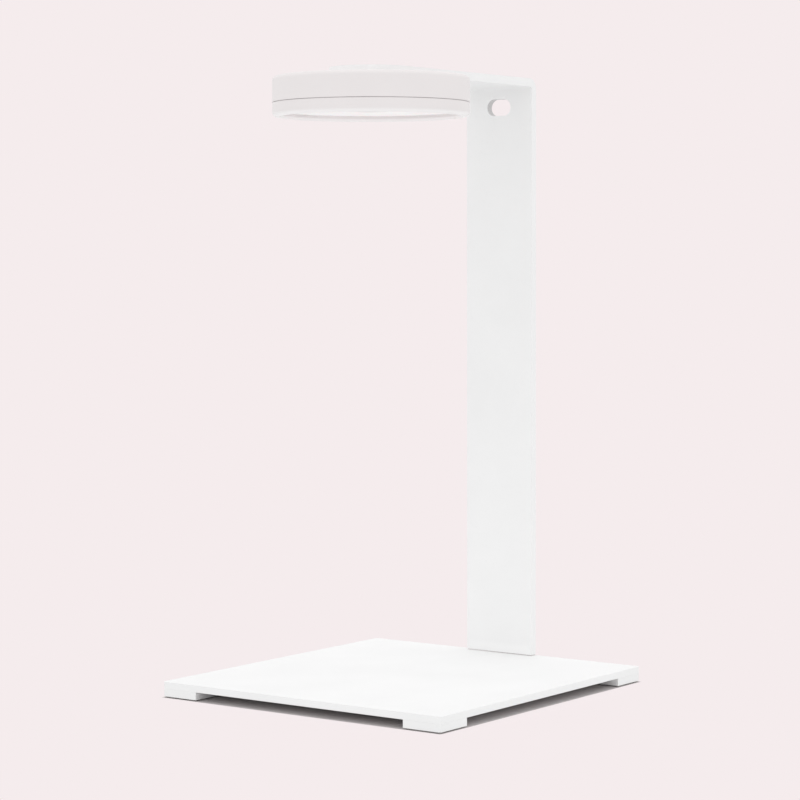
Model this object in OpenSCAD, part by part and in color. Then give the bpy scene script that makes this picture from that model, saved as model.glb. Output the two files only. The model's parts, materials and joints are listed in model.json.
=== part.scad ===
// Overhead book scanner: a flat base on four corner feet, a plate bent into a column and an arm,
// and a round head under the arm with the lamp, the camera and the electronics.
// The origin is on the floor at the middle of the base. +Z is up and the front faces -Y.

/* [Base] */
// Width of the base plate, left to right
base_w = 300; // [280:1:310]
// Depth of the base plate, front to back
base_d = 315; // [312:1:350]
// Thickness of the base plate
base_t = 6; // [5.5:0.5:8]
// Radius of the base plate's corners
base_corner_r = 3; // [1:0.5:6]

/* [Feet] */
// Side of each square corner foot
foot_side = 38; // [33:1:50]
// Height of each foot block
foot_h = 7; // [5:0.5:10]
// Side of the rubber pad under each foot
pad_side = 32; // [24:1:32]
// Thickness of the rubber pad
pad_t = 1; // [0.6:0.1:1.5]

/* [Stand] */
// Width of the column and the arm
stand_w = 73; // [68:1:80]
// Thickness of the bent plate
stand_t = 7.5; // [7:0.5:8]
// Height of the arm's top face above the floor
stand_h = 552; // [480:1:600]
// Inner radius of the bend between the column and the arm
bend_inner_r = 2.5; // [2:0.5:5]
// Width of the cable hole in the column
cable_hole_w = 26; // [20:1:32]
// Height of the cable hole
cable_hole_h = 15.5; // [12:0.5:18]
// Distance from the arm's top face down to the middle of the cable hole
cable_hole_drop = 25.5; // [24:0.5:40]

/* [Head] */
// Outer radius of the head
head_r = 86; // [86:1:92]
// Distance of the head's axis in front of the middle of the base
head_forward = 49; // [44:1:60]
// Height of the upper housing
upper_h = 22.8; // [22.6:0.1:26]
// Height of the dark seam between the housings
seam_h = 0.6; // [0.5:0.1:1]
// Height of the lower ring
lower_h = 11.9; // [11.6:0.1:14]
// Rounding of the upper housing's top edge
top_edge_r = 4; // [3:0.5:5]
// Rounding of the lower ring's bottom edge
bottom_edge_r = 4; // [3:0.5:5]
// Width of the rim around the recessed diffuser
rim_w = 6; // [5.5:0.5:8]
// Height of the rim below the diffuser's seal
rim_t = 3; // [2.6:0.1:3.1]
// Height of the grey seal that the diffuser rests on
diffuser_seal_t = 2; // [1.6:0.1:2.1]

/* [Lamp and camera] */
// Number of light-emitting diodes
led_count = 24; // [12:1:32]
// Radius of the circle that the diodes sit on
led_circle_r = 52; // [44:1:60]
// Radius of the bezel's opening in front of the camera
eye_r = 11; // [9:0.5:12]
// Travel of the focusing lens
focus_travel = 0.3; // [0.1:0.1:0.3]

/* [Button] */
// Radius of the push button's cap
button_r = 6; // [4:0.5:8]
// Distance of the button in front of the head's axis
button_forward = 62; // [58:1:64]
// Travel of the push button
button_travel = 0.5; // [0.2:0.1:0.5]

/* [Hidden] */

$fn = 96;
eps = 0.01;
fit_gap = 0.05;
base_z = pad_t + foot_h;
base_top = base_z + base_t;
foot_screw_r = 2;
foot_screw_depth = 4.5;
foot_screw_offset = 8;

gasket_t = 0.8;
gasket_inset = 0.6;
column_bottom = base_top + gasket_t;
column_back = base_d / 2;
column_front = column_back - stand_t;
column_mid = column_back - stand_t / 2;
bend_outer_r = bend_inner_r + stand_t;
arm_under = stand_h - stand_t;
cable_hole_z = stand_h - cable_hole_drop;
column_screw_r = 1.5;
column_screw_l = 16;
column_screw_pitch = 24;
dowel_r = 1.5;
dowel_l = 14;
dowel_below = 5;

wall = 2.5;
head_y = -head_forward;
head_top = arm_under;
inner_r = head_r - wall;
inner_top = head_top - wall;
upper_bottom = head_top - upper_h;
lower_top = upper_bottom - seam_h;
lower_bottom = lower_top - lower_h;
rim_r = head_r - rim_w;
diffuser_seal_inset = 0.3;
diffuser_t = 2;
rim_top = lower_bottom + rim_t;
diffuser_bottom = rim_top + diffuser_seal_t;
diffuser_top = diffuser_bottom + diffuser_t;
flange_t = 2;
flange_bottom = diffuser_top + 2;
flange_top = flange_bottom + flange_t;
flange_in_r = 68;

small_screw_r = 1.25;
small_head_r = 2.2;
small_head_h = 1.5;
boss_r = 3.6;
boss_circle_r = head_r - 9;
ring_screw_l = 11;
mount_screw_r = 2;
mount_head_r = 3.5;
mount_head_h = 2.2;
mount_screw_depth = 4.5;
mount_circle_r = 22;
mount_plate_r = 30;
mount_plate_t = 2;
mount_plate_z = inner_top - mount_plate_t;

board_t = 1.6;
tiny_screw_r = 1;
tiny_head_r = 1.9;
tiny_head_h = 1.2;
led_board_in_r = 30;
led_board_out_r = 72.5;
led_board_z = flange_top;
led_board_top = led_board_z + board_t;
led_screw_circle_r = 70.3;
led_side = 3;
led_h = 1.2;
lead_r = 0.6;
lead_pitch = 3;
lead_y = 40;

bezel_bottom = diffuser_bottom;
tube_r = 18;
tube_in_r = 16;
tube_ledge_top = bezel_bottom + 2.5;
window_t = 1.5;
window_top = tube_ledge_top + window_t;
camera_board_side = 36;
camera_board_z = window_top + 10.5;
camera_flange_r = 24;
camera_flange_t = 2;
camera_screw_offset = 14.5;
sensor_h = 1.2;

yoke_side = 22;
yoke_wall = 0.8;
yoke_bottom = window_top + 1.5;
yoke_floor = yoke_bottom + yoke_wall;
yoke_opening_r = 7.6;
magnet_l = 12;
magnet_t = 1.8;
magnet_h = 5;
guide_offset = 7.6;
guide_r = 0.6;
carrier_r = 7;
carrier_bottom = yoke_floor + focus_travel + 0.1;
carrier_top = camera_board_z - sensor_h - 0.4;
ear_h = 1.4;
ear_r = 1.3;
coil_r = 7.9;
coil_h = 3.4;
coil_bottom = carrier_bottom + 0.8;
barrel_r = 5;
barrel_bottom = window_top + 1.1;
barrel_top = carrier_top - 0.2;
barrel_seat_h = 2.6;
front_lens_r = 4.2;
rear_lens_r = 3.1;

main_board_z = inner_top - 9.5;
main_board_top = main_board_z + board_t;
main_board_w = 60;
main_board_r = head_r - 5;
main_board_front = 74;
main_screw_x = 26;
main_screw_y = 52;
post_r = 3.2;
processor_side = 15;
processor_h = 1.5;
spreader_side = 16;
connector_w = 10;
connector_d = 3;
connector_h = 1.3;
flex_w = 8;
flex_t = 0.2;
camera_connector_y = 12;
main_connector_y = 30;

usb_w = 9.4;
usb_h = 3.4;
usb_l = 9;
usb_wall = 0.3;
usb_mouth_y = head_y + inner_r + 1;
usb_z = main_board_z - usb_h / 2;
usb_window_gap = 0.3;

switch_side = 6;
switch_h = 3.6;
plunger_r = 1.7;
plunger_top = main_board_top + switch_h + 0.7;
plunger_l = 3.3;
plunger_gap = 0.1;
button_gap = 0.15;
button_flange_w = 1.4;
button_flange_t = 1.3;
button_flange_top = inner_top - 0.2;
button_proud = 0.9;
stem_r = 2;

// Flat outlines

module rounded_rect(w, d, r) {
    square([w - 2 * r, d], center = true);
    square([w, d - 2 * r], center = true);
    for (x = [-1, 1], y = [-1, 1]) {
        translate([x * (w / 2 - r), y * (d / 2 - r)]) circle(r = r);
    }
}

module obround(w, h) {
    square([w - h, h], center = true);
    for (x = [-1, 1]) {
        translate([x * (w - h) / 2, 0]) circle(d = h);
    }
}

// Round and square building blocks, each placed by its lowest height

module disc(r, h, z) {
    translate([0, 0, z]) cylinder(r = r, h = h);
}

module ring(out_r, in_r, h, z) {
    difference() {
        disc(out_r, h, z);
        disc(in_r, h + 2 * eps, z - eps);
    }
}

module block(w, d, h, z) {
    translate([-w / 2, -d / 2, z]) cube([w, d, h]);
}

module on_head() {
    translate([0, head_y, 0]) children();
}

module around(count, r, start) {
    for (i = [0 : count - 1]) {
        rotate([0, 0, start + i * 360 / count]) translate([r, 0, 0]) children();
    }
}

module at_four(x, y) {
    for (sx = [-1, 1], sy = [-1, 1]) {
        translate([sx * x, sy * y, 0]) children();
    }
}

// Screws stand on their heads: the head's outer face is at z and the shank points up.

module countersunk_screw(r, l, z) {
    difference() {
        union() {
            translate([0, 0, z]) cylinder(r1 = 2 * r, r2 = r, h = r);
            disc(r, l, z);
        }
        translate([0, 0, z - eps]) cylinder(r = 0.7 * r, h = 0.8 * r, $fn = 6);
    }
}

module countersink(r, z) {
    translate([0, 0, z - eps]) cylinder(r1 = 2 * r + 2 * eps, r2 = r, h = r + eps);
}

module cheese_head_screw(r, l, head_r, head_h, z) {
    difference() {
        union() {
            disc(head_r, head_h, z);
            disc(r, head_h + l, z);
        }
        translate([0, 0, z - eps]) cylinder(r = 0.45 * head_r, h = 0.6 * head_h, $fn = 6);
    }
}

// Base

module at_foot(sx, sy) {
    translate([sx * (base_w - foot_side) / 2, sy * (base_d - foot_side) / 2, 0]) children();
}

module at_foot_screws(sx, sy) {
    at_foot(sx, sy) {
        for (side = [-1, 1]) {
            translate([side * foot_screw_offset, 0, 0]) children();
        }
    }
}

module at_column_screws() {
    for (i = [-1 : 1]) {
        translate([i * column_screw_pitch, column_mid, 0]) children();
    }
}

module at_column_dowels() {
    for (side = [-1, 1]) {
        translate([side * column_screw_pitch / 2, column_mid, 0]) children();
    }
}

module base_plate() {
    color("white") difference() {
        translate([0, 0, base_z]) linear_extrude(base_t) rounded_rect(base_w, base_d, base_corner_r);
        for (sx = [-1, 1], sy = [-1, 1]) {
            at_foot_screws(sx, sy) disc(foot_screw_r + fit_gap, foot_screw_depth + eps, base_z - eps);
        }
        at_column_screws() {
            disc(column_screw_r + fit_gap, base_t + 2 * eps, base_z - eps);
            countersink(column_screw_r + fit_gap, base_z);
        }
        at_column_dowels() disc(dowel_r + fit_gap, dowel_below + eps, base_top - dowel_below);
    }
}

module foot_block(sx, sy) {
    color("white") difference() {
        translate([0, 0, pad_t]) linear_extrude(foot_h) intersection() {
            rounded_rect(base_w, base_d, base_corner_r);
            translate([sx * (base_w - foot_side) / 2, sy * (base_d - foot_side) / 2]) {
                square(foot_side, center = true);
            }
        }
        at_foot_screws(sx, sy) {
            disc(foot_screw_r + fit_gap, foot_h + 2 * eps, pad_t - eps);
            countersink(foot_screw_r + fit_gap, pad_t);
        }
    }
}

module foot_front_left() {
    foot_block(-1, -1);
}

module foot_front_right() {
    foot_block(1, -1);
}

module foot_rear_left() {
    foot_block(-1, 1);
}

module foot_rear_right() {
    foot_block(1, 1);
}

module foot_pad(sx, sy) {
    color("gainsboro") at_foot(sx, sy) {
        linear_extrude(pad_t) rounded_rect(pad_side, pad_side, base_corner_r);
    }
}

module pad_front_left() {
    foot_pad(-1, -1);
}

module pad_front_right() {
    foot_pad(1, -1);
}

module pad_rear_left() {
    foot_pad(-1, 1);
}

module pad_rear_right() {
    foot_pad(1, 1);
}

module foot_screws() {
    color("silver") for (sx = [-1, 1], sy = [-1, 1]) {
        at_foot_screws(sx, sy) {
            countersunk_screw(foot_screw_r, foot_h + foot_screw_depth - 4 * fit_gap, pad_t);
        }
    }
}

// Stand: column, bend and arm from one plate

module stand_profile() {
    bend_y = column_back - bend_outer_r;
    bend_z = stand_h - bend_outer_r;
    translate([column_front, column_bottom]) square([stand_t, bend_z - column_bottom]);
    translate([head_y, arm_under]) square([bend_y - head_y, stand_t]);
    translate([bend_y, bend_z]) intersection() {
        difference() {
            circle(r = bend_outer_r);
            circle(r = bend_inner_r);
        }
        square(bend_outer_r);
    }
}

module stand() {
    color("white") difference() {
        union() {
            translate([-stand_w / 2, 0, 0]) rotate([90, 0, 90]) linear_extrude(stand_w) stand_profile();
            on_head() disc(stand_w / 2, stand_t, arm_under);
        }
        translate([0, column_back + eps, cable_hole_z]) rotate([90, 0, 0]) {
            linear_extrude(stand_t + 2 * eps) obround(cable_hole_w, cable_hole_h);
        }
        at_column_screws() {
            disc(column_screw_r + fit_gap, base_z + column_screw_l - column_bottom + 1, column_bottom - eps);
        }
        at_column_dowels() {
            disc(dowel_r + fit_gap, dowel_l - dowel_below - gasket_t + 1, column_bottom - eps);
        }
        on_head() around(4, mount_circle_r, 45) {
            disc(mount_screw_r + fit_gap, mount_screw_depth + 0.5, arm_under - eps);
        }
    }
}

module column_gasket() {
    color("dimgray") difference() {
        translate([0, column_mid, base_top]) linear_extrude(gasket_t) {
            square([stand_w - 2 * gasket_inset, stand_t - 2 * gasket_inset], center = true);
        }
        at_column_screws() disc(column_screw_r + fit_gap, gasket_t + 2 * eps, base_top - eps);
        at_column_dowels() disc(dowel_r + fit_gap, gasket_t + 2 * eps, base_top - eps);
    }
}

module column_screws() {
    color("silver") at_column_screws() countersunk_screw(column_screw_r, column_screw_l, base_z);
}

module column_dowels() {
    color("silver") at_column_dowels() disc(dowel_r, dowel_l - fit_gap, base_top - dowel_below + fit_gap);
}

// Head casing

module housing_half(out_r) {
    rounded_at = out_r - top_edge_r;
    translate([0, upper_bottom]) square([rounded_at, upper_h]);
    translate([0, upper_bottom]) square([out_r, upper_h - top_edge_r]);
    translate([rounded_at, head_top - top_edge_r]) circle(r = top_edge_r);
}

module head_upper_housing() {
    color("white") on_head() difference() {
        union() {
            difference() {
                rotate_extrude() housing_half(head_r);
                disc(inner_r, upper_h - wall + eps, upper_bottom - eps);
            }
            around(4, boss_circle_r, 45) disc(boss_r, inner_top - flange_top + eps, flange_top);
            at_four(main_screw_x, main_screw_y) {
                disc(post_r, inner_top - main_board_top + eps, main_board_top);
            }
        }
        around(4, boss_circle_r, 45) disc(small_screw_r + fit_gap, ring_screw_l, flange_top - eps);
        at_four(main_screw_x, main_screw_y) disc(small_screw_r + fit_gap, 6, main_board_top - eps);
        around(4, mount_circle_r, 45) disc(mount_screw_r + fit_gap, wall + 2 * eps, inner_top - eps);
        translate([0, -button_forward, 0]) disc(button_r + button_gap, wall + 2 * eps, inner_top - eps);
        translate([0, head_r + eps, usb_z]) rotate([90, 0, 0]) {
            linear_extrude(2 * wall) obround(usb_w + 2 * usb_window_gap, usb_h + 2 * usb_window_gap);
        }
    }
}

module head_seam_gasket() {
    color("dimgray") on_head() ring(head_r - 0.8, inner_r + 0.4, seam_h, lower_top);
}

module lower_ring_half() {
    rounded_at = head_r - bottom_edge_r;
    translate([0, lower_bottom]) square([rounded_at, lower_h]);
    translate([0, lower_bottom + bottom_edge_r]) square([head_r, lower_h - bottom_edge_r]);
    translate([rounded_at, lower_bottom + bottom_edge_r]) circle(r = bottom_edge_r);
}

module head_lower_ring() {
    color("white") on_head() difference() {
        union() {
            difference() {
                rotate_extrude() lower_ring_half();
                disc(inner_r, lower_h, rim_top);
                disc(rim_r, lower_h, lower_bottom - eps);
            }
            ring(inner_r + eps, flange_in_r, flange_t, flange_bottom);
        }
        around(4, boss_circle_r, 45) disc(small_screw_r + fit_gap, flange_t + 2 * eps, flange_bottom - eps);
        around(3, led_screw_circle_r, 90) {
            disc(tiny_screw_r + fit_gap, flange_t + 2 * eps, flange_bottom - eps);
        }
    }
}

module lower_ring_screws() {
    head_z = flange_bottom - small_head_h;
    color("silver") on_head() around(4, boss_circle_r, 45) {
        cheese_head_screw(small_screw_r, ring_screw_l, small_head_r, small_head_h, head_z);
    }
}

module head_mount_plate() {
    color("silver") on_head() difference() {
        disc(mount_plate_r, mount_plate_t, mount_plate_z);
        around(4, mount_circle_r, 45) {
            disc(mount_screw_r + fit_gap, mount_plate_t + 2 * eps, mount_plate_z - eps);
        }
    }
}

module head_mount_screws() {
    shank = mount_plate_t + wall + mount_screw_depth;
    color("silver") on_head() around(4, mount_circle_r, 45) {
        cheese_head_screw(mount_screw_r, shank, mount_head_r, mount_head_h, mount_plate_z - mount_head_h);
    }
}

// Lamp

module light_diffuser() {
    color("whitesmoke") on_head() ring(inner_r - 0.3, tube_r + 0.3, diffuser_t, diffuser_bottom);
}

module diffuser_seal() {
    color("gray") on_head() ring(inner_r - 0.3, rim_r + diffuser_seal_inset, diffuser_seal_t, rim_top);
}

module led_board() {
    color("white") on_head() difference() {
        ring(led_board_out_r, led_board_in_r, board_t, led_board_z);
        around(3, led_screw_circle_r, 90) {
            disc(tiny_screw_r + fit_gap, board_t + 2 * eps, led_board_z - eps);
        }
    }
}

module leds() {
    color("khaki") on_head() around(led_count, led_circle_r, 0) {
        block(led_side, led_side, led_h, led_board_z - led_h);
    }
}

module led_board_screws() {
    head_z = led_board_top + tiny_head_h;
    color("silver") on_head() around(3, led_screw_circle_r, 90) {
        translate([0, 0, head_z]) rotate([180, 0, 0]) {
            cheese_head_screw(tiny_screw_r, board_t + flange_t, tiny_head_r, tiny_head_h, 0);
        }
    }
}

module led_leads() {
    color("firebrick") on_head() for (i = [0, 1]) {
        translate([24 + i * lead_pitch, lead_y, 0]) disc(lead_r, main_board_z - led_board_top, led_board_top);
    }
}

// Camera

module camera_bezel() {
    color("white") on_head() difference() {
        union() {
            disc(tube_r, camera_board_z - bezel_bottom, bezel_bottom);
            disc(camera_flange_r, camera_flange_t, camera_board_z - camera_flange_t);
        }
        disc(eye_r, camera_board_z, bezel_bottom - eps);
        disc(tube_in_r, camera_board_z, tube_ledge_top);
        at_four(camera_screw_offset, camera_screw_offset) {
            disc(tiny_screw_r + fit_gap, camera_flange_t + 2 * eps, camera_board_z - camera_flange_t - eps);
        }
    }
}

module camera_window() {
    color("lightblue", 0.5) on_head() disc(tube_in_r - 0.1, window_t, tube_ledge_top);
}

module camera_board() {
    color("seagreen") on_head() difference() {
        block(camera_board_side, camera_board_side, board_t, camera_board_z);
        at_four(camera_screw_offset, camera_screw_offset) {
            disc(tiny_screw_r + fit_gap, board_t + 2 * eps, camera_board_z - eps);
        }
    }
}

module camera_board_screws() {
    head_z = camera_board_z + board_t + tiny_head_h;
    color("silver") on_head() at_four(camera_screw_offset, camera_screw_offset) {
        translate([0, 0, head_z]) rotate([180, 0, 0]) {
            cheese_head_screw(tiny_screw_r, board_t + camera_flange_t, tiny_head_r, tiny_head_h, 0);
        }
    }
}

module image_sensor() {
    color("darkslategray") on_head() block(10, 8, sensor_h, camera_board_z - sensor_h);
}

module focus_yoke() {
    inside = yoke_side - 2 * yoke_wall;
    color("lightgray") on_head() difference() {
        block(yoke_side, yoke_side, camera_board_z - yoke_bottom, yoke_bottom);
        block(inside, inside, camera_board_z, yoke_floor);
        disc(yoke_opening_r, 2, yoke_bottom - eps);
    }
}

module focus_magnets() {
    reach = yoke_side / 2 - yoke_wall - magnet_t / 2;
    color("slategray") on_head() for (a = [0 : 90 : 270]) {
        rotate([0, 0, a]) translate([reach, 0, 0]) block(magnet_t, magnet_l, magnet_h, yoke_floor + 0.5);
    }
}

module at_guides() {
    for (side = [-1, 1]) {
        translate([side * guide_offset, side * guide_offset, 0]) children();
    }
}

module focus_guide_pins() {
    color("silver") on_head() at_guides() disc(guide_r, camera_board_z - yoke_floor - 0.5, yoke_floor);
}

module lens_carrier() {
    ear_z = carrier_top - ear_h;
    color("dimgray") on_head() difference() {
        union() {
            disc(carrier_r, carrier_top - carrier_bottom, carrier_bottom);
            at_guides() disc(ear_r, ear_h, ear_z);
            rotate([0, 0, 45]) block(2 * guide_offset * sqrt(2), 1.6, ear_h, ear_z);
        }
        disc(barrel_r + fit_gap, camera_board_z, yoke_bottom);
        at_guides() disc(guide_r + fit_gap, camera_board_z, yoke_bottom);
    }
}

module focus_coil() {
    color("peru") on_head() ring(coil_r, carrier_r + fit_gap, coil_h, coil_bottom);
}

module lens_barrel() {
    color("black") on_head() difference() {
        disc(barrel_r, barrel_top - barrel_bottom, barrel_bottom);
        disc(front_lens_r + fit_gap, barrel_seat_h, barrel_bottom - eps);
        disc(rear_lens_r + fit_gap, camera_board_z, barrel_bottom + 4);
        disc(rear_lens_r - 0.6, camera_board_z, barrel_bottom);
    }
}

// A lens with one domed face: a disc with a ball cut to its rim
module domed_lens(r, edge, dome, z) {
    ball_r = (r * r + dome * dome) / (2 * dome);
    disc(r, edge, z + dome);
    intersection() {
        translate([0, 0, z + ball_r]) sphere(r = ball_r);
        disc(r, dome + eps, z);
    }
}

module front_lens() {
    color("lightblue", 0.6) on_head() domed_lens(front_lens_r, 0.8, 1, barrel_bottom + 0.6);
}

module rear_lens() {
    color("lightblue", 0.6) on_head() domed_lens(rear_lens_r, 0.6, 0.6, barrel_bottom + 4.1);
}

// Electronics

module main_board() {
    color("seagreen") on_head() difference() {
        translate([0, 0, main_board_z]) linear_extrude(board_t) intersection() {
            circle(r = main_board_r);
            translate([-main_board_w / 2, -main_board_front]) {
                square([main_board_w, main_board_front + main_board_r]);
            }
        }
        at_four(main_screw_x, main_screw_y) {
            disc(small_screw_r + fit_gap, board_t + 2 * eps, main_board_z - eps);
        }
    }
}

module main_board_screws() {
    head_z = main_board_z - small_head_h;
    color("silver") on_head() at_four(main_screw_x, main_screw_y) {
        cheese_head_screw(small_screw_r, board_t + 5, small_head_r, small_head_h, head_z);
    }
}

module processor() {
    color("darkslategray") on_head() block(processor_side, processor_side, processor_h, main_board_top);
}

module memory_chips() {
    color("darkslategray") on_head() for (side = [-1, 1]) {
        translate([side * 15, main_connector_y, 0]) block(8, 10, 1, main_board_z - 1);
    }
}

module power_parts() {
    color("dimgray") on_head() translate([-16, 60, 0]) block(7, 7, 3, main_board_z - 3);
    color("peru") on_head() for (i = [0 : 2]) {
        translate([-17 + 4 * i, 51, 0]) block(1.6, 3.2, 1.6, main_board_z - 1.6);
    }
}

module heat_spreader() {
    bottom = main_board_top + processor_h;
    color("lightgray") on_head() block(spreader_side, spreader_side, mount_plate_z - bottom, bottom);
}

module at_usb_mouth() {
    translate([0, usb_mouth_y, usb_z]) rotate([90, 0, 0]) children();
}

module usb_socket() {
    color("silver") at_usb_mouth() difference() {
        linear_extrude(usb_l) obround(usb_w, usb_h);
        translate([0, 0, -eps]) linear_extrude(usb_l - 1 + 2 * eps) {
            obround(usb_w - 2 * usb_wall, usb_h - 2 * usb_wall);
        }
    }
}

module usb_tongue() {
    color("black") at_usb_mouth() translate([-3.3, -0.35, 1]) cube([6.6, 0.7, usb_l - 2]);
}

module camera_flex() {
    from_y = camera_connector_y + connector_d / 2;
    to_y = main_connector_y - connector_d / 2;
    low = camera_board_z + board_t + connector_h / 2;
    high = main_board_z - connector_h / 2;
    color("goldenrod") on_head() translate([-flex_w / 2, 0, 0]) rotate([90, 0, 90]) linear_extrude(flex_w) {
        polygon([
            [from_y, low], [from_y + 4, low], [to_y - 4, high], [to_y, high],
            [to_y, high + flex_t], [to_y - 4, high + flex_t],
            [from_y + 4, low + flex_t], [from_y, low + flex_t]
        ]);
    }
}

module flex_connectors() {
    color("black") on_head() {
        translate([0, camera_connector_y, 0]) {
            block(connector_w, connector_d, connector_h, camera_board_z + board_t);
        }
        translate([0, main_connector_y, 0]) {
            block(connector_w, connector_d, connector_h, main_board_z - connector_h);
        }
    }
}

// Push button

module on_button() {
    translate([0, head_y - button_forward, 0]) children();
}

module button_switch() {
    color("dimgray") on_button() difference() {
        block(switch_side, switch_side, switch_h, main_board_top);
        disc(plunger_r + plunger_gap, switch_h, plunger_top - plunger_l - button_travel - 0.1);
    }
}

module switch_plunger() {
    color("black") on_button() disc(plunger_r, plunger_l, plunger_top - plunger_l);
}

module button_cap() {
    flange_z = button_flange_top - button_flange_t;
    color("white") on_button() {
        disc(button_r, head_top + button_proud - flange_z, flange_z);
        disc(button_r + button_flange_w, button_flange_t, flange_z);
        disc(stem_r, flange_z - plunger_top, plunger_top + 2 * eps);
    }
}

base_plate();
foot_front_left();
foot_front_right();
foot_rear_left();
foot_rear_right();
pad_front_left();
pad_front_right();
pad_rear_left();
pad_rear_right();
foot_screws();
stand();
column_gasket();
column_screws();
column_dowels();
head_upper_housing();
head_seam_gasket();
head_lower_ring();
lower_ring_screws();
head_mount_plate();
head_mount_screws();
light_diffuser();
diffuser_seal();
led_board();
leds();
led_board_screws();
led_leads();
camera_bezel();
camera_window();
camera_board();
camera_board_screws();
image_sensor();
focus_yoke();
focus_magnets();
focus_guide_pins();
lens_carrier();
focus_coil();
lens_barrel();
front_lens();
rear_lens();
main_board();
main_board_screws();
processor();
memory_chips();
power_parts();
heat_spreader();
usb_socket();
usb_tongue();
camera_flex();
flex_connectors();
button_switch();
switch_plunger();
button_cap();
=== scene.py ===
import json
import math

import bmesh
import bpy
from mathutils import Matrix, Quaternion, Vector


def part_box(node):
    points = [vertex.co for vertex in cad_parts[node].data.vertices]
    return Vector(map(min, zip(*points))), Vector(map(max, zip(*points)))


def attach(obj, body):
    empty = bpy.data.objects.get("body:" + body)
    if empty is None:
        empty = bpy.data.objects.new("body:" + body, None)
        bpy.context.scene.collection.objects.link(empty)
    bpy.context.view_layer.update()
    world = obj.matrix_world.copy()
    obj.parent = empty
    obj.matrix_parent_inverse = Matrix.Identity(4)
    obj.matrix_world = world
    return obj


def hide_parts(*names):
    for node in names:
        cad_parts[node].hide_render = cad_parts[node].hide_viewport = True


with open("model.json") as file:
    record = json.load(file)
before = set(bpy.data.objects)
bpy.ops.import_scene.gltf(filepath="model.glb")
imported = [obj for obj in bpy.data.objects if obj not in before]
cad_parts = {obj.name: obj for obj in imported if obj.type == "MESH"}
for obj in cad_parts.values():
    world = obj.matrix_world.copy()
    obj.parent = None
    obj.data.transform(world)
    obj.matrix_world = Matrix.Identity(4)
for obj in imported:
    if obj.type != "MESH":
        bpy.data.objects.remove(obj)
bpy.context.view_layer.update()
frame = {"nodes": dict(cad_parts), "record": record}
nodes = frame["nodes"]

MM = 0.001

# Camera, in metres from the middle of the base on the floor, in degrees and, for its lens, in millimetres
CAMERA_DISTANCE = 2.26
CAMERA_BEARING = 36.11
CAMERA_HEIGHT = 0.3868
VIEW_AZIMUTH = 36.22
VIEW_PITCH = 3.21
VIEW_ROLL = -0.13
LENS = 114.2
SENSOR_WIDTH = 36
FAR_CLIP = 200

# Studio: light strengths, the floor's size in metres, and its depths and margin in millimetres
BACKDROP = (0.913, 0.839, 0.847)
HORIZON_LIGHT = 0.89
OVERHEAD_LIGHT = 1.14
FLOOR_LIGHT = (0.88, 0.88, 0.88)
FLOOR_SIZE = 60
FLOOR_DEPTH = 0.3
SHADE_DEPTH = 0.1
SHADE_MARGIN = 1
SHADE_COLOUR = (0.62, 0.585, 0.585)

# Head: colours, the lamp's strength, and sizes in millimetres
# The lower ring is painted lighter up to this height: a painted highlight for the light from below on its
# lower edge
LIP_HIGHLIGHT_HEIGHT = 3.6
LIP_HIGHLIGHT_BLEND = 2
LIP_HIGHLIGHT_COLOUR = (0.97, 0.945, 0.945)
HEAD_COLOUR = (0.865, 0.825, 0.825)
LAMP_GLOW = 0.2
LAMP_COLOUR = (1, 0.99, 0.97)
LED_CIRCLE_R = 52
LED_COUNT = 24
PHOSPHOR_R = 1.1
PHOSPHOR_OUTER_R = 1.2

# Edges: angles in degrees, and widths in millimetres
SHARP_ANGLE = 35
FLAT_ANGLE = 0.3
EDGE_SEGMENTS = 4
FACE_AREA_WEIGHT = 80
SAME_POINT = 0.001
FINE_EDGE = 0.15
NODE_EDGES = {
    "head_upper_housing": 0.3, "head_lower_ring": 0.6, "button_cap": 0.5,
    "foot_front_left": 0.8, "foot_front_right": 0.8, "foot_rear_left": 0.8, "foot_rear_right": 0.8,
    "pad_front_left": 0.3, "pad_front_right": 0.3, "pad_rear_left": 0.3, "pad_rear_right": 0.3,
}

# Rebuilt plates, in millimetres: how wide a rounding their edges ask for, and how far apart their mesh is cut
NEAR = 0.2
BASE_CORNER = 4
BASE_EDGE = 1.2
BASE_STEP = 7
STAND_DEPTH = 8
STAND_UNDERSIDE_DEPTH = 7
STAND_FOOT_HEIGHT = 20
STAND_HOLE_MARGIN = 5
STAND_EDGE = 2.8
STAND_UNDERSIDE_EDGE = 0.5
STAND_HOLE_EDGE = 0.5
STAND_FOOT_EDGE = 0.2
STAND_STEP = 6

REBUILT = ("stand", "base_plate")
# How far a face may lean towards the column's front or back and still count as the wall of its hole
HOLE_WALL_LEAN = 0.1


# Nodes

def new_material(name):
    material = bpy.data.materials.new(name)
    material.use_nodes = True
    tree = material.node_tree
    tree.nodes.clear()
    shader = tree.nodes.new("ShaderNodeBsdfPrincipled")
    output = tree.nodes.new("ShaderNodeOutputMaterial")
    tree.links.new(shader.outputs["BSDF"], output.inputs["Surface"])
    return material, tree, shader


def put(tree, socket, value):
    if isinstance(value, bpy.types.NodeSocket):
        tree.links.new(value, socket)
    else:
        socket.default_value = value


def place_by(tree, stretch=(1, 1, 1)):
    place = tree.nodes.new("ShaderNodeTexCoord")
    mapping = tree.nodes.new("ShaderNodeMapping")
    mapping.inputs["Scale"].default_value = stretch
    tree.links.new(place.outputs["Object"], mapping.inputs["Vector"])
    return mapping.outputs["Vector"]


def noise(tree, place, scale, detail=3, rough=0.5):
    node = tree.nodes.new("ShaderNodeTexNoise")
    node.inputs["Scale"].default_value = scale
    node.inputs["Detail"].default_value = detail
    node.inputs["Roughness"].default_value = rough
    tree.links.new(place, node.inputs["Vector"])
    return node.outputs["Fac"]


def cells(tree, place, scale, scatter=1.0):
    node = tree.nodes.new("ShaderNodeTexVoronoi")
    node.inputs["Scale"].default_value = scale
    node.inputs["Randomness"].default_value = scatter
    tree.links.new(place, node.inputs["Vector"])
    return node.outputs["Distance"]


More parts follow.
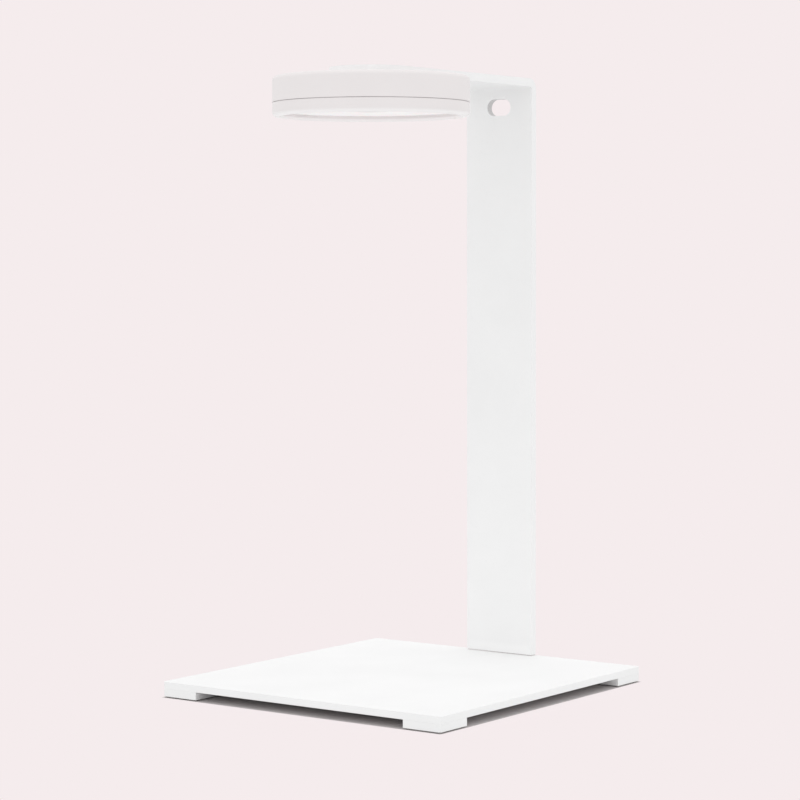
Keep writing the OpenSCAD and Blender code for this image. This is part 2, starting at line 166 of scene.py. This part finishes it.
def bands(tree, place, pitch_mm, direction):
    node = tree.nodes.new("ShaderNodeTexWave")
    node.bands_direction = direction
    node.inputs["Scale"].default_value = math.tau / (20 * pitch_mm * MM)
    tree.links.new(place, node.inputs["Vector"])
    return node.outputs["Fac"]


def calc(tree, operation, first, second=0.0):
    node = tree.nodes.new("ShaderNodeMath")
    node.operation = operation
    put(tree, node.inputs[0], first)
    put(tree, node.inputs[1], second)
    return node.outputs[0]


def hypotenuse(tree, first, second):
    squares = [calc(tree, "POWER", side, 2.0) for side in (first, second)]
    return calc(tree, "SQRT", calc(tree, "ADD", *squares))


def spread(tree, value, low, high, from_low=0.3, from_high=0.7):
    node = tree.nodes.new("ShaderNodeMapRange")
    node.inputs["From Min"].default_value = from_low
    node.inputs["From Max"].default_value = from_high
    node.inputs["To Min"].default_value = low
    node.inputs["To Max"].default_value = high
    tree.links.new(value, node.inputs["Value"])
    return node.outputs["Result"]


def mix_colour(tree, factor, first, second):
    node = tree.nodes.new("ShaderNodeMix")
    node.data_type = "RGBA"
    for socket, value in (("A", first), ("B", second)):
        target = [s for s in node.inputs if s.name == socket and s.type == "RGBA"][0]
        put(tree, target, value if isinstance(value, bpy.types.NodeSocket) else (*value, 1))
    tree.links.new(factor, node.inputs["Factor"])
    return [s for s in node.outputs if s.type == "RGBA"][0]


def bump(tree, height, strength, distance_mm, below=None):
    node = tree.nodes.new("ShaderNodeBump")
    node.inputs["Strength"].default_value = strength
    node.inputs["Distance"].default_value = distance_mm * MM
    tree.links.new(height, node.inputs["Height"])
    if below is not None:
        tree.links.new(below, node.inputs["Normal"])
    return node.outputs["Normal"]


def edges_of(tree, start=0.53, full=0.6):
    geometry = tree.nodes.new("ShaderNodeNewGeometry")
    return spread(tree, geometry.outputs["Pointiness"], 0, 1, start, full)


def scaled(colour, by):
    return tuple(min(1, c * by) for c in colour)


def filtered(colour, tint):
    return tuple(c * t for c, t in zip(colour, tint))


# Finishes

TINNED_COPPER = (0.72, 0.66, 0.5)
PHOSPHOR = ((0.85, 0.66, 0.14), (0.95, 0.8, 0.25))
CERAMIC = ((0.82, 0.82, 0.8), (0.92, 0.92, 0.9))


def coated(
    name, colour, rough, grain, peel=None, depth=0.02, wear_and_edge_highlight=1.03, tint=0.97, coat=0.0, shine=0.5, lip_highlight=None
):
    """Paint, moulded plastic or rubber: fine grain, uneven gloss, and a colour change at the edges: scuffs
    and dirt on rubber, wire and black plastic, a painted highlight on the white paint and white plastics.

    A lip highlight is the height below which the piece is painted a lighter colour, with that colour: a
    painted highlight for the light from below on its lower edge."""
    material, tree, shader = new_material(name)
    place = place_by(tree)
    broad = noise(tree, place, 14, detail=5)
    fine = noise(tree, place, grain)
    speck = spread(tree, noise(tree, place, grain / 4, detail=2), 0, 1, 0.62, 0.75)
    base = mix_colour(tree, spread(tree, broad, 0, 1), scaled(colour, tint), colour)
    base = mix_colour(tree, speck, base, scaled(colour, 0.96))
    # Painted highlight: below the given height the colour blends to a lighter one, for the light from below
    if lip_highlight:
        axes = tree.nodes.new("ShaderNodeSeparateXYZ")
        tree.links.new(place, axes.inputs["Vector"])
        top, lip_highlight_colour = lip_highlight
        below = spread(tree, axes.outputs["Z"], 1, 0, top - LIP_HIGHLIGHT_BLEND * MM, top)
        base = mix_colour(tree, below, base, lip_highlight_colour)
    # Edge colour: a painted highlight on the white paint and white plastics; scuffs and dirt on rubber, wire
    # and black plastic
    put(tree, shader.inputs["Base Color"], mix_colour(tree, edges_of(tree), base, scaled(colour, wear_and_edge_highlight)))
    patches = spread(tree, broad, rough - 0.05, rough + 0.05)
    uneven = calc(tree, "ADD", patches, spread(tree, fine, -0.03, 0.03))
    rubbed = calc(tree, "MULTIPLY", edges_of(tree), 0.08)
    put(tree, shader.inputs["Roughness"], calc(tree, "SUBTRACT", uneven, rubbed))
    shader.inputs["Coat Weight"].default_value = coat
    shader.inputs["Specular IOR Level"].default_value = shine
    normal = bump(tree, fine, 0.5, depth)
    if peel:
        normal = bump(tree, noise(tree, place, peel, detail=1), 0.4, depth * 2, normal)
    put(tree, shader.inputs["Normal"], normal)
    return material


def metal(name, colour, rough, stretch=(1, 1, 1), grain=900, depth=0.01, stain=(0.9, 0.88, 0.8)):
    """Metal with drawn or milled lines, faint staining, and edges polished bright."""
    material, tree, shader = new_material(name)
    lines = noise(tree, place_by(tree, stretch), grain, detail=4)
    patch = noise(tree, place_by(tree), 160, detail=5)
    stained = spread(tree, patch, 0, 1, 0.45, 0.75)
    dulled = mix_colour(tree, stained, colour, filtered(colour, stain))
    put(tree, shader.inputs["Base Color"], mix_colour(tree, edges_of(tree), dulled, scaled(colour, 1.2)))
    drawn = spread(tree, lines, rough - 0.08, rough + 0.08)
    put(tree, shader.inputs["Roughness"], calc(tree, "ADD", drawn, spread(tree, patch, -0.04, 0.06)))
    shader.inputs["Metallic"].default_value = 1.0
    put(tree, shader.inputs["Normal"], bump(tree, lines, 0.5, depth))
    return material


def circuit_board(name, mask, trace):
    """Solder mask over raised copper tracks, with bare tinned holes."""
    material, tree, shader = new_material(name)
    place = place_by(tree)
    tracks = []
    for width, height, turn in ((3.4, 1.1, 0), (2.2, 4.6, 1)):
        brick = tree.nodes.new("ShaderNodeTexBrick")
        brick.offset = 0.37
        brick.inputs["Scale"].default_value = 1 / MM
        brick.inputs["Mortar Size"].default_value = 0.12
        brick.inputs["Mortar Smooth"].default_value = 0.1
        brick.inputs["Brick Width"].default_value = width
        brick.inputs["Row Height"].default_value = height
        tree.links.new(place, brick.inputs["Vector"])
        kept = spread(tree, noise(tree, place, 60 + 35 * turn, detail=0), 0, 1, 0.45, 0.47)
        tracks.append(calc(tree, "MULTIPLY", brick.outputs["Fac"], kept))
    raised = calc(tree, "MAXIMUM", tracks[0], tracks[1])
    hole = spread(tree, cells(tree, place, 330, 0.75), 1, 0, 0.14, 0.17)
    grain = noise(tree, place, 4200)
    base = mix_colour(tree, raised, mask, trace)
    cloud = spread(tree, noise(tree, place, 40, detail=4), 0, 0.35)
    base = mix_colour(tree, cloud, base, scaled(mask, 0.8))
    put(tree, shader.inputs["Base Color"], mix_colour(tree, hole, base, TINNED_COPPER))
    put(tree, shader.inputs["Metallic"], calc(tree, "MULTIPLY", hole, 0.9))
    put(tree, shader.inputs["Roughness"], spread(tree, grain, 0.28, 0.42))
    shader.inputs["Coat Weight"].default_value = 0.3
    normal = bump(tree, calc(tree, "SUBTRACT", raised, hole), 0.8, 0.04)
    put(tree, shader.inputs["Normal"], bump(tree, grain, 0.3, 0.01, normal))
    return material


def striped(name, ground, stripe, pitch_mm, direction, rough, metallic=0.0, depth=0.03, coat=0.0, cut=0.55):
    """Fine parallel lines: wound wire, tracks in a film, contacts or a thread."""
    material, tree, shader = new_material(name)
    place = place_by(tree)
    wave = bands(tree, place, pitch_mm, direction)
    line = spread(tree, wave, 0, 1, cut - 0.15, cut + 0.15)
    mottle = noise(tree, place, 700, detail=4)
    base = mix_colour(tree, line, ground, stripe)
    dulled = mix_colour(tree, spread(tree, mottle, 0, 0.4), base, scaled(ground, 0.8))
    put(tree, shader.inputs["Base Color"], dulled)
    put(tree, shader.inputs["Metallic"], calc(tree, "MULTIPLY", line, metallic))
    put(tree, shader.inputs["Roughness"], spread(tree, mottle, rough - 0.06, rough + 0.08))
    shader.inputs["Coat Weight"].default_value = coat
    put(tree, shader.inputs["Normal"], bump(tree, wave, 0.8, depth))
    return material


def clear(name, colour, rough, coat_tint, dust=0.06):
    """Polished glass with a tinted coating and a little dust."""
    material, tree, shader = new_material(name)
    place = place_by(tree)
    film = spread(tree, noise(tree, place, 220, detail=5), 0, 1, 0.5, 0.8)
    specks = spread(tree, cells(tree, place, 900), 1, 0, 0.05, 0.1)
    put(tree, shader.inputs["Base Color"], mix_colour(tree, film, colour, scaled(colour, 0.93)))
    dusty = calc(tree, "ADD", calc(tree, "MULTIPLY", film, dust), calc(tree, "MULTIPLY", specks, 0.25))
    put(tree, shader.inputs["Roughness"], calc(tree, "ADD", dusty, rough))
    shader.inputs["Transmission Weight"].default_value = 0.9
    shader.inputs["IOR"].default_value = 1.5
    shader.inputs["Coat Weight"].default_value = 0.6
    shader.inputs["Coat Tint"].default_value = (*coat_tint, 1)
    put(tree, shader.inputs["Normal"], bump(tree, film, 0.05, 0.005))
    return material


def diffuser(name, colour):
    """Frosted sheet with a pattern of tiny lens dots moulded in."""
    material, tree, shader = new_material(name)
    place = place_by(tree)
    dots = spread(tree, cells(tree, place, 620, 0.0), 1, 0, 0.1, 0.45)
    frost = noise(tree, place, 3600, detail=4)
    cloud = noise(tree, place, 24, detail=4)
    base = mix_colour(tree, spread(tree, cloud, 0, 1), scaled(colour, 0.98), colour)
    dotted = mix_colour(tree, calc(tree, "MULTIPLY", dots, 0.12), base, scaled(colour, 0.85))
    put(tree, shader.inputs["Base Color"], dotted)
    frosted = spread(tree, frost, 0.46, 0.58)
    put(tree, shader.inputs["Roughness"], calc(tree, "ADD", frosted, calc(tree, "MULTIPLY", dots, -0.1)))
    shader.inputs["Subsurface Weight"].default_value = 0.25
    shader.inputs["Subsurface Scale"].default_value = 1.5 * MM
    shader.inputs["Emission Color"].default_value = (*LAMP_COLOUR, 1)
    shader.inputs["Emission Strength"].default_value = LAMP_GLOW
    normal = bump(tree, dots, 0.5, 0.05)
    put(tree, shader.inputs["Normal"], bump(tree, frost, 0.4, 0.01, normal))
    return material


def diode(name, centre):
    """A white ceramic body with a round pool of yellow phosphor, the same on every diode in the ring."""
    material, tree, shader = new_material(name)
    place = tree.nodes.new("ShaderNodeTexCoord")
    shift = tree.nodes.new("ShaderNodeVectorMath")
    shift.operation = "SUBTRACT"
    tree.links.new(place.outputs["Object"], shift.inputs[0])
    shift.inputs[1].default_value = centre
    axes = tree.nodes.new("ShaderNodeSeparateXYZ")
    tree.links.new(shift.outputs["Vector"], axes.inputs["Vector"])
    turn = calc(tree, "ARCTAN2", axes.outputs["Y"], axes.outputs["X"])
    place_in_ring = calc(tree, "MULTIPLY", turn, LED_COUNT / math.tau)
    step = calc(tree, "FRACT", calc(tree, "ADD", place_in_ring, LED_COUNT + 0.5))
    radius = hypotenuse(tree, axes.outputs["X"], axes.outputs["Y"])
    pitch = LED_CIRCLE_R * MM * math.tau / LED_COUNT
    along = calc(tree, "MULTIPLY", calc(tree, "SUBTRACT", step, 0.5), pitch)
    across = calc(tree, "SUBTRACT", radius, LED_CIRCLE_R * MM)
    away = hypotenuse(tree, along, across)
    pool = spread(tree, away, 1, 0, PHOSPHOR_R * MM, PHOSPHOR_OUTER_R * MM)
    grain = noise(tree, shift.outputs["Vector"], 5000)
    phosphor = mix_colour(tree, grain, *PHOSPHOR)
    ceramic = mix_colour(tree, grain, *CERAMIC)
    put(tree, shader.inputs["Base Color"], mix_colour(tree, pool, ceramic, phosphor))
    put(tree, shader.inputs["Roughness"], spread(tree, grain, 0.3, 0.5))
    put(tree, shader.inputs["Normal"], bump(tree, calc(tree, "SUBTRACT", grain, pool), 0.6, 0.05))
    return material


def make_coated():
    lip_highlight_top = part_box("head_lower_ring")[0][2] + LIP_HIGHLIGHT_HEIGHT * MM
    rubber = {"rough": 0.75, "grain": 1500, "depth": 0.05, "wear_and_edge_highlight": 1.3, "tint": 0.85}
    looks = {
        # On the white paint and white plastics, an edge factor above 1 is a painted edge highlight; on
        # rubber, wire and black plastic it is wear
        "white_paint": dict(
            colour=(0.935, 0.935, 0.935), rough=0.55, grain=2600, peel=500, shine=0.25, wear_and_edge_highlight=1.01),
        # Painted shade: a darker grey for the cable hole's inner wall, standing in for the shade inside the
        # hole
        "hole_wall_painted_shade": dict(colour=(0.68, 0.67, 0.67), rough=0.6, grain=2600, wear_and_edge_highlight=1.0, shine=0.2),
        "white_plastic": dict(colour=(0.92, 0.92, 0.92), rough=0.55, grain=1900, depth=0.03),
        "head_plastic": dict(colour=HEAD_COLOUR, rough=0.5, grain=3000, peel=1200),
        # The lower ring's edge is painted lighter: a painted highlight
        "lip_highlight_plastic": dict(
            colour=HEAD_COLOUR, rough=0.45, grain=3000, peel=1200, lip_highlight=(lip_highlight_top, LIP_HIGHLIGHT_COLOUR)),
        "pad_rubber": dict(
            colour=(0.78, 0.78, 0.77), rough=0.8, grain=1500, depth=0.05, wear_and_edge_highlight=0.9, tint=0.92),
        "dark_rubber": dict(colour=(0.64, 0.61, 0.61), **rubber),
        "seal_rubber": dict(colour=(0.92, 0.88, 0.88), **rubber),
        "wire": dict(
            colour=(0.55, 0.04, 0.03), rough=0.35, grain=1200, depth=0.01, wear_and_edge_highlight=1.2, tint=0.9, coat=0.3),
        "chip_black": dict(
            colour=(0.045, 0.045, 0.05), rough=0.55, grain=2400, depth=0.03, wear_and_edge_highlight=2, tint=0.8),
        "black_plastic": dict(
            colour=(0.05, 0.05, 0.05), rough=0.6, grain=2200, depth=0.03, wear_and_edge_highlight=1.8, tint=0.8),
    }
    return {name: coated(name, **look) for name, look in looks.items()}


def make_metals():
    return {
        "steel": metal("steel", (0.62, 0.62, 0.63), 0.34, stretch=(1, 1, 7)),
        "magnet": metal("magnet", (0.5, 0.5, 0.52), 0.22, grain=500, stain=(0.95, 0.93, 0.88)),
        "spreader_aluminium": metal(
            "spreader_aluminium", (0.74, 0.75, 0.76), 0.38, stretch=(1, 14, 1), grain=420),
    }


def make_striped():
    looks = {
        "copper": dict(
            ground=(0.4, 0.16, 0.06), stripe=(0.86, 0.42, 0.2), pitch_mm=0.16, direction="Z",
            rough=0.3, metallic=0.95, depth=0.06, coat=0.5),
        "flex_film": dict(
            ground=(0.5, 0.26, 0.05), stripe=(0.78, 0.46, 0.14), pitch_mm=0.8, direction="X",
            rough=0.32, metallic=0.3, depth=0.02, coat=0.5),
        "lens_thread": dict(
            ground=(0.03, 0.03, 0.03), stripe=(0.07, 0.07, 0.07), pitch_mm=0.35, direction="Z",
            rough=0.5, depth=0.1),
        "contacts": dict(
            ground=(0.04, 0.04, 0.04), stripe=(0.85, 0.62, 0.28), pitch_mm=0.5, direction="X",
            rough=0.35, metallic=0.9, depth=0.02, cut=0.7),
        "sensor_face": dict(
            ground=(0.02, 0.05, 0.06), stripe=(0.05, 0.1, 0.12), pitch_mm=0.06, direction="X",
            rough=0.15, metallic=0.2, depth=0.002, coat=0.8),
    }
    return {name: striped(name, **look) for name, look in looks.items()}


def make_materials():
    ring_middle = [(a + b) / 2 for a, b in zip(*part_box("leds"))]
    return {
        **make_coated(),
        **make_metals(),
        **make_striped(),
        "diffuser_plastic": diffuser("diffuser_plastic", (0.79, 0.755, 0.76)),
        "board_white": circuit_board("board_white", (0.82, 0.82, 0.8), (0.9, 0.9, 0.87)),
        "board_green": circuit_board("board_green", (0.03, 0.2, 0.09), (0.07, 0.33, 0.15)),
        "led": diode("led", ring_middle),
        "window_glass": clear("window_glass", (0.94, 0.97, 0.98), 0.02, (0.8, 0.86, 1)),
        "lens_glass": clear("lens_glass", (0.9, 0.93, 1), 0.01, (0.66, 0.5, 0.95), dust=0.02),
    }


# Nodes whose finish is more than their slot's
SPECIAL_FINISH = {
    "head_lower_ring": "lip_highlight_plastic", "lens_barrel": "lens_thread",
    "usb_tongue": "contacts", "image_sensor": "sensor_face",
}


# Edges

def round_edges(node, width_mm):
    weld = node.modifiers.new("weld", "WELD")
    weld.merge_threshold = SAME_POINT * MM
    flat = node.modifiers.new("flat", "DECIMATE")
    flat.decimate_type = "DISSOLVE"
    flat.angle_limit = math.radians(FLAT_ANGLE)
    bevel = node.modifiers.new("round", "BEVEL")
    bevel.width = width_mm * MM
    bevel.segments = EDGE_SEGMENTS
    bevel.limit_method = "ANGLE"
    bevel.angle_limit = math.radians(SHARP_ANGLE)
    normals = node.modifiers.new("normals", "WEIGHTED_NORMAL")
    normals.weight = FACE_AREA_WEIGHT


def dress_cad(materials):
    slots = {s["node"]: s["material_slot"] for s in frame["record"]["subparts"]}
    for name, node in nodes.items():
        node.data.materials.clear()
        node.data.materials.append(materials[SPECIAL_FINISH.get(name, slots[name])])
        if name not in REBUILT:
            round_edges(node, NODE_EDGES.get(name, FINE_EDGE))


# Plates rebuilt with a close mesh, so that the lighter colour at their edges, a painted highlight on the
# white paint, stays at their edges. Each run of edges asks for its own rounding, but the bevel's overlap
# limit holds it to a few hundredths of a millimetre. With the limit off, the mesh tears.

def sharp(edge):
    return len(edge.link_faces) == 2 and edge.calc_face_angle() > math.radians(SHARP_ANGLE)


def stand_edge_radius(ends, low, high):
    half_width = high[0]
    arm_end_y = low[1] + half_width
    near = NEAR * MM
    on_side = all(abs(p.x) > half_width - near for p in ends)
    on_end = all(
        p.y < arm_end_y + near and math.hypot(p.x, p.y - arm_end_y) > half_width - near for p in ends
    )
    if all(p.z < low[2] + near for p in ends):
        across = all(abs(p.y - ends[0].y) < near for p in ends)
        return STAND_FOOT_EDGE if on_side or across else 0
    if on_side or on_end:
        along_arm = all(p.z > high[2] - STAND_DEPTH * MM for p in ends)
        underside = along_arm and all(p.z < high[2] - STAND_UNDERSIDE_DEPTH * MM for p in ends)
        return STAND_UNDERSIDE_EDGE if underside else STAND_EDGE
    return STAND_HOLE_EDGE if all(on_column(p, low, high) for p in ends) else 0


def on_column(point, low, high):
    return point.y > high[1] - STAND_DEPTH * MM and point.z > low[2] + STAND_FOOT_HEIGHT * MM


def in_stand_hole(middle, normal, low, high):
    inside = abs(middle.x) < high[0] - STAND_HOLE_MARGIN * MM
    return inside and on_column(middle, low, high) and abs(normal.y) < HOLE_WALL_LEAN


def base_edge_radius(ends, low, high):
    """Only the outline of the plate is rounded, not its screw holes."""
    def on_outline(point):
        insets = (high[0] - abs(point.x), high[1] - abs(point.y))
        return min(insets) < NEAR * MM or max(insets) < BASE_CORNER * MM

    return BASE_EDGE if all(on_outline(p) for p in ends) else 0


def slice_up(shape, matrix, low, high, step):
    """Cut the shape by evenly spaced planes along each axis, no further apart than the step."""
    to_mesh = matrix.inverted()
    for axis in range(3):
        count = int((high[axis] - low[axis]) / step)
        normal = Vector((0, 0, 0))
        normal[axis] = 1
        for i in range(1, count + 1):
            point = Vector((0, 0, 0))
            point[axis] = low[axis] + (high[axis] - low[axis]) * i / (count + 1)
            bmesh.ops.bisect_plane(
                shape, geom=shape.verts[:] + shape.edges[:] + shape.faces[:], dist=SAME_POINT * MM / 10,
                plane_co=to_mesh @ point, plane_no=normal
            )


def rebuild_plate(materials, node_name, piece_name, finish, radius_of, widest, step, gets_painted_shade=None):
    """Stand a piece of the same shape in a node's place; the last argument says which faces get the darker
    grey, painted shade on the wall of the cable hole.
    """
    source = nodes[node_name]
    low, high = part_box(node_name)
    mesh = source.data.copy()
    mesh.materials.clear()
    mesh.materials.append(materials[finish])
    if gets_painted_shade:
        mesh.materials.append(materials["hole_wall_painted_shade"])
    plate = bpy.data.objects.new(piece_name, mesh)
    bpy.context.scene.collection.objects.link(plate)
    plate.matrix_world = source.matrix_world.copy()
    shape = bmesh.new()
    shape.from_mesh(mesh)
    bmesh.ops.remove_doubles(shape, verts=shape.verts, dist=SAME_POINT * MM)
    bmesh.ops.dissolve_limit(
        shape, angle_limit=math.radians(FLAT_ANGLE), verts=shape.verts, edges=shape.edges
    )
    slice_up(shape, source.matrix_world, low, high, step * MM)
    weight = shape.edges.layers.float.new("bevel_weight_edge")
    for edge in shape.edges:
        if sharp(edge):
            ends = [source.matrix_world @ v.co for v in edge.verts]
            edge[weight] = radius_of(ends, low, high) / widest
    turned = source.matrix_world.to_3x3()
    for face in shape.faces:
        face.smooth = False
        middle = source.matrix_world @ face.calc_center_median()
        # The cable hole's wall gets the darker grey: painted shade
        if gets_painted_shade and gets_painted_shade(middle, turned @ face.normal, low, high):
            face.material_index = 1
    shape.to_mesh(mesh)
    shape.free()
    if "custom_normal" in mesh.attributes:
        mesh.attributes.remove(mesh.attributes["custom_normal"])
    bevel = plate.modifiers.new("round", "BEVEL")
    bevel.width = widest * MM
    bevel.segments = 2 * EDGE_SEGMENTS
    bevel.limit_method = "WEIGHT"
    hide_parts(node_name)
    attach(plate, "frame")


# Studio

def make_camera():
    bearing = math.radians(CAMERA_BEARING)
    azimuth = math.radians(VIEW_AZIMUTH)
    pitch = math.radians(VIEW_PITCH)
    camera = bpy.data.objects.new("camera", bpy.data.cameras.new("camera"))
    bpy.context.scene.collection.objects.link(camera)
    camera.location = (
        CAMERA_DISTANCE * math.sin(bearing), -CAMERA_DISTANCE * math.cos(bearing), CAMERA_HEIGHT
    )
    ahead = Vector((
        -math.sin(azimuth) * math.cos(pitch), math.cos(azimuth) * math.cos(pitch), -math.sin(pitch)
    ))
    roll = Quaternion((0, 0, 1), math.radians(VIEW_ROLL))
    camera.rotation_mode = "QUATERNION"
    camera.rotation_quaternion = ahead.to_track_quat("-Z", "Y") @ roll
    camera.data.lens = LENS
    camera.data.sensor_width = SENSOR_WIDTH
    camera.data.clip_end = FAR_CLIP
    bpy.context.scene.camera = camera


def see_through_from_below(tree, shader):
    below = tree.nodes.new("ShaderNodeNewGeometry").outputs["Backfacing"]
    nothing = tree.nodes.new("ShaderNodeBsdfTransparent")
    mix = tree.nodes.new("ShaderNodeMixShader")
    output = [n for n in tree.nodes if n.type == "OUTPUT_MATERIAL"][0]
    tree.links.new(below, mix.inputs[0])
    tree.links.new(shader.outputs["BSDF"], mix.inputs[1])
    tree.links.new(nothing.outputs["BSDF"], mix.inputs[2])
    tree.links.new(mix.outputs["Shader"], output.inputs["Surface"])


def make_plane(name, width, depth, height):
    bpy.ops.mesh.primitive_plane_add(size=1, location=(0, 0, height))
    plane = bpy.context.object
    plane.name = name
    plane.scale = (width, depth, 1)
    return plane


def make_floor():
    floor = make_plane("floor", FLOOR_SIZE, FLOOR_SIZE, -FLOOR_DEPTH * MM)
    glow, tree, shader = new_material("pale_floor")
    shader.inputs["Base Color"].default_value = (0, 0, 0, 1)
    shader.inputs["Specular IOR Level"].default_value = 0
    seen = tree.nodes.new("ShaderNodeLightPath").outputs["Is Camera Ray"]
    put(tree, shader.inputs["Emission Color"], mix_colour(tree, seen, FLOOR_LIGHT, BACKDROP))
    shader.inputs["Emission Strength"].default_value = 1
    see_through_from_below(tree, shader)
    floor.data.materials.append(glow)
    low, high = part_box("base_plate")
    grow = 2 * SHADE_MARGIN * MM
    width, depth = (high[i] - low[i] + grow for i in (0, 1))
    shade = make_plane("shade_under_base", width, depth, -SHADE_DEPTH * MM)
    matt, tree, shader = new_material("shaded_floor")
    shader.inputs["Base Color"].default_value = (*SHADE_COLOUR, 1)
    shader.inputs["Roughness"].default_value = 1
    shader.inputs["Specular IOR Level"].default_value = 0
    see_through_from_below(tree, shader)
    shade.data.materials.append(matt)


def make_world():
    world = bpy.data.worlds.new("studio")
    bpy.context.scene.world = world
    world.use_nodes = True
    tree = world.node_tree
    tree.nodes.clear()
    seen = tree.nodes.new("ShaderNodeBackground")
    seen.inputs["Color"].default_value = (*BACKDROP, 1)
    light = tree.nodes.new("ShaderNodeBackground")
    light.inputs["Color"].default_value = (1, 1, 1, 1)
    place = tree.nodes.new("ShaderNodeTexCoord")
    axes = tree.nodes.new("ShaderNodeSeparateXYZ")
    tree.links.new(place.outputs["Generated"], axes.inputs["Vector"])
    strength = spread(tree, axes.outputs["Z"], HORIZON_LIGHT, OVERHEAD_LIGHT, 0, 1)
    put(tree, light.inputs["Strength"], strength)
    path = tree.nodes.new("ShaderNodeLightPath")
    mix = tree.nodes.new("ShaderNodeMixShader")
    output = tree.nodes.new("ShaderNodeOutputWorld")
    tree.links.new(path.outputs["Is Camera Ray"], mix.inputs[0])
    tree.links.new(light.outputs[0], mix.inputs[1])
    tree.links.new(seen.outputs[0], mix.inputs[2])
    tree.links.new(mix.outputs[0], output.inputs["Surface"])


make_camera()
make_floor()
make_world()
finishes = make_materials()
dress_cad(finishes)
rebuild_plate(
    finishes, "stand", "stand_plate", "white_paint", stand_edge_radius, STAND_EDGE, STAND_STEP, in_stand_hole
)
rebuild_plate(
    finishes, "base_plate", "base_sheet", "white_paint", base_edge_radius, BASE_EDGE, BASE_STEP
)
bpy.context.scene.view_settings.view_transform = "Standard"
